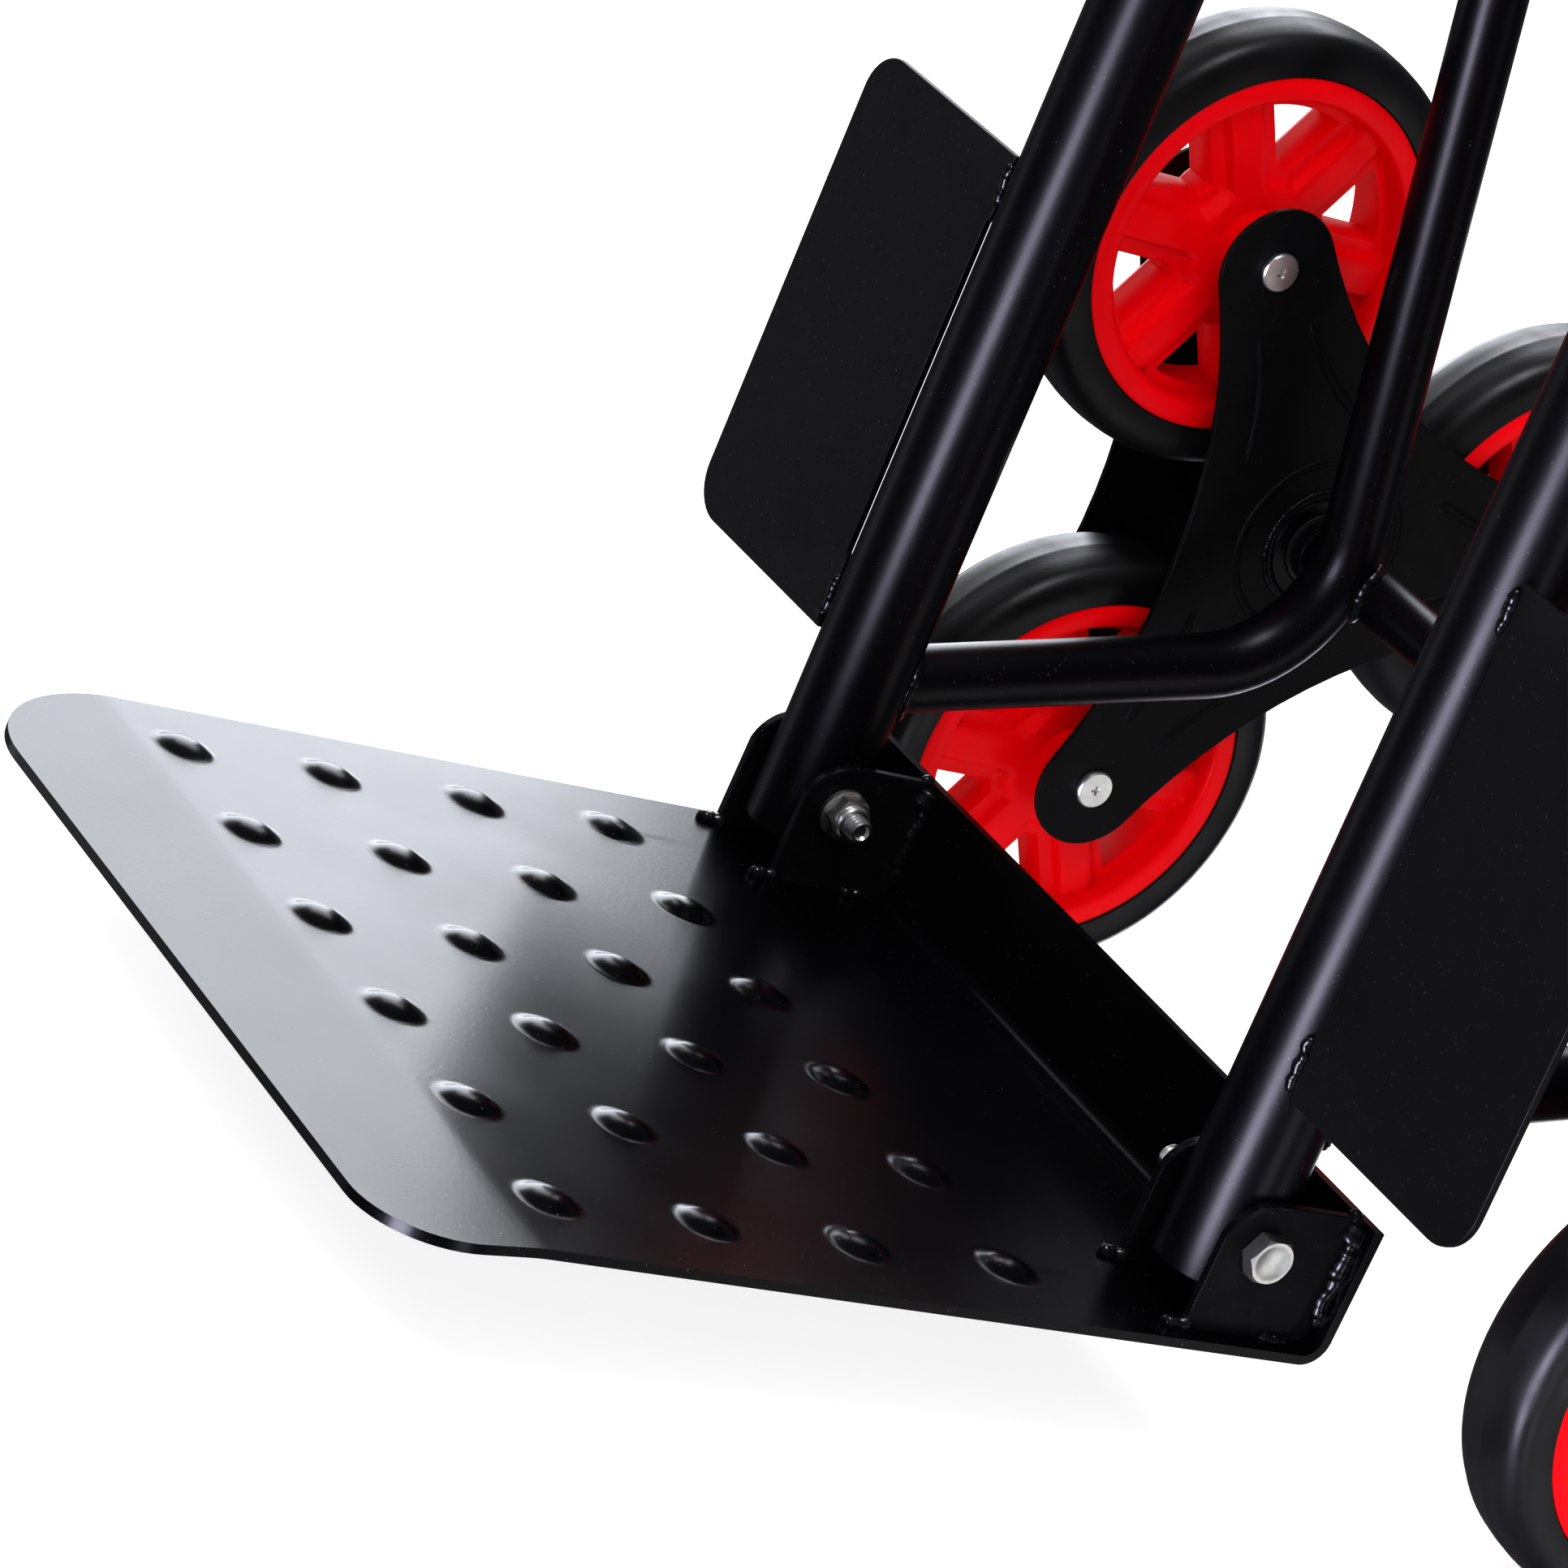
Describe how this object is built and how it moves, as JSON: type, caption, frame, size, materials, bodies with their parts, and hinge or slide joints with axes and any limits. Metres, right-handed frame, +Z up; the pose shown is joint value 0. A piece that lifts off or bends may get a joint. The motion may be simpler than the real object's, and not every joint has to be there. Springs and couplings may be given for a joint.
{
  "type": "hand truck",
  "caption": "Stair-climbing folding hand truck with black steel tubes, a dimpled folding toe plate, sliding handle and two three-wheel clusters with red rims",
  "frame": {"origin": "On the underside of the toe plate, midway between the two main tubes and directly below their axes", "axes": "+X across the truck to the operator's left, +Y to the rear towards the operator and the wheels, +Z up along the main tubes"},
  "size_m": [0.4552, 0.6241, 1.198],
  "materials": {
    "black_powder_coat": "satin",
    "matte_black_coat": "matte",
    "zinc_plated_steel": "bright zinc",
    "red_plastic": "satin gloss",
    "tyre_rubber": "satin",
    "black_plastic": "matte",
    "grip_rubber": "matte"
  },
  "bodies": {
    "frame": {"main_tube_left": "black_powder_coat", "main_tube_right": "black_powder_coat", "brace_left": "black_powder_coat", "brace_right": "black_powder_coat", "wing_left": "matte_black_coat", "wing_right": "matte_black_coat", "collar_left": "black_plastic", "collar_right": "black_plastic", "clamp_bolt_left": "zinc_plated_steel", "clamp_bolt_right": "zinc_plated_steel", "axle_nut_left": "zinc_plated_steel", "axle_nut_right": "zinc_plated_steel", "axle_spacer_left": "black_powder_coat", "axle_spacer_right": "black_powder_coat", "cross_bar_lower": "black_powder_coat", "cross_bar_upper": "black_powder_coat", "cross_plate": "black_powder_coat", "axle_tube": "black_powder_coat", "axle_rod": "zinc_plated_steel"},
    "toe_plate": {"toe_plate": "black_powder_coat", "ear_outer_left": "black_powder_coat", "ear_outer_right": "black_powder_coat", "ear_inner_left": "black_powder_coat", "ear_inner_right": "black_powder_coat", "hinge_bolt_left": "zinc_plated_steel", "hinge_bolt_right": "zinc_plated_steel", "hinge_nut_left": "zinc_plated_steel", "hinge_nut_right": "zinc_plated_steel"},
    "cluster_left": {"star_inner_left": "matte_black_coat", "star_outer_left": "matte_black_coat", "hub_sleeve_left": "matte_black_coat", "hub_bush_left": "black_plastic", "wheel_bolt_left_1": "zinc_plated_steel", "wheel_bolt_left_2": "zinc_plated_steel", "wheel_bolt_left_3": "zinc_plated_steel"},
    "wheel_left_1": {"rim_left_1": "red_plastic", "tyre_left_1": "tyre_rubber"},
    "wheel_left_2": {"rim_left_2": "red_plastic", "tyre_left_2": "tyre_rubber"},
    "wheel_left_3": {"rim_left_3": "red_plastic", "tyre_left_3": "tyre_rubber"},
    "cluster_right": {"star_inner_right": "matte_black_coat", "star_outer_right": "matte_black_coat", "hub_sleeve_right": "matte_black_coat", "hub_bush_right": "black_plastic", "wheel_bolt_right_1": "zinc_plated_steel", "wheel_bolt_right_2": "zinc_plated_steel", "wheel_bolt_right_3": "zinc_plated_steel"},
    "wheel_right_1": {"rim_right_1": "red_plastic", "tyre_right_1": "tyre_rubber"},
    "wheel_right_2": {"rim_right_2": "red_plastic", "tyre_right_2": "tyre_rubber"},
    "wheel_right_3": {"rim_right_3": "red_plastic", "tyre_right_3": "tyre_rubber"},
    "handle": {"handle_loop": "black_powder_coat", "handle_grip": "grip_rubber"},
    "lever_left": {"clamp_lever_left": "black_plastic"},
    "lever_right": {"clamp_lever_right": "black_plastic"}
  },
  "joints": [
    {"name": "toe_plate_fold", "type": "hinge", "parent": "frame", "child": "toe_plate", "pos_m": [0, 0, 0.0294], "axis": [1, 0, 0], "range_deg": [-90, 0]},
    {"name": "cluster_left_turn", "type": "hinge", "parent": "frame", "child": "cluster_left", "pos_m": [0.1834, 0.171, 0.1258], "axis": [1, 0, 0], "continuous": true},
    {"name": "wheel_left_1_roll", "type": "hinge", "parent": "cluster_left", "child": "wheel_left_1", "pos_m": [0.1834, 0.10088, 0.20395], "axis": [1, 0, 0], "continuous": true},
    {"name": "wheel_left_2_roll", "type": "hinge", "parent": "cluster_left", "child": "wheel_left_2", "pos_m": [0.1834, 0.13838, 0.026], "axis": [1, 0, 0], "continuous": true},
    {"name": "wheel_left_3_roll", "type": "hinge", "parent": "cluster_left", "child": "wheel_left_3", "pos_m": [0.1834, 0.27374, 0.14745], "axis": [1, 0, 0], "continuous": true},
    {"name": "cluster_right_turn", "type": "hinge", "parent": "frame", "child": "cluster_right", "pos_m": [-0.1834, 0.171, 0.1258], "axis": [1, 0, 0], "continuous": true},
    {"name": "wheel_right_1_roll", "type": "hinge", "parent": "cluster_right", "child": "wheel_right_1", "pos_m": [-0.1834, 0.11092, 0.21192], "axis": [1, 0, 0], "continuous": true},
    {"name": "wheel_right_2_roll", "type": "hinge", "parent": "cluster_right", "child": "wheel_right_2", "pos_m": [-0.1834, 0.12646, 0.03071], "axis": [1, 0, 0], "continuous": true},
    {"name": "wheel_right_3_roll", "type": "hinge", "parent": "cluster_right", "child": "wheel_right_3", "pos_m": [-0.1834, 0.27562, 0.13477], "axis": [1, 0, 0], "continuous": true},
    {"name": "handle_slide", "type": "slide", "parent": "frame", "child": "handle", "axis": [0, 0, 1], "range_m": [-0.205, 0]},
    {"name": "clamp_lever_left_flip", "type": "hinge", "parent": "frame", "child": "lever_left", "pos_m": [0.1417, 0.027, 0.861], "axis": [1, 0, 0], "range_deg": [0, 100]},
    {"name": "clamp_lever_right_flip", "type": "hinge", "parent": "frame", "child": "lever_right", "pos_m": [-0.1417, 0.027, 0.861], "axis": [1, 0, 0], "range_deg": [0, 100]}
  ]
}
